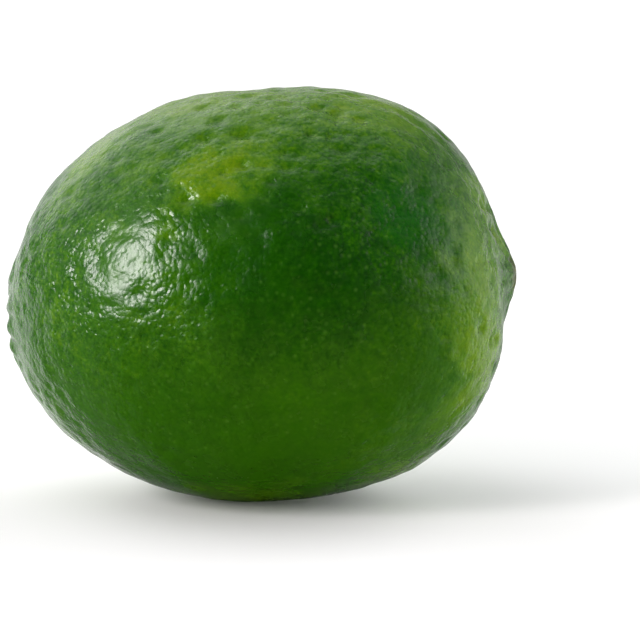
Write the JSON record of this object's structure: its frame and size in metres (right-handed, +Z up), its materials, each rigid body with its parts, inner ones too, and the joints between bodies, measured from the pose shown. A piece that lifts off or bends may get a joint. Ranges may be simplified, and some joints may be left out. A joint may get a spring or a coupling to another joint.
{
  "type": "lime",
  "caption": "Whole ripe lime: oval citrus fruit with a low nipple at one end and a dimpled stem scar at the other, lying on a small flat spot.",
  "frame": {"origin": "on the surface the lime rests on, in the small flat spot, under the middle of the lime's box", "axes": "+X from the stem end towards the nipple end, level, so the fruit's own axis climbs 5 degrees towards +X; +Z up; -Y towards the side that shows best"},
  "size_m": [0.0622, 0.0506, 0.0502],
  "materials": {
    "peel": null
  },
  "bodies": {
    "root": {"lime": "peel"}
  },
  "joints": []
}
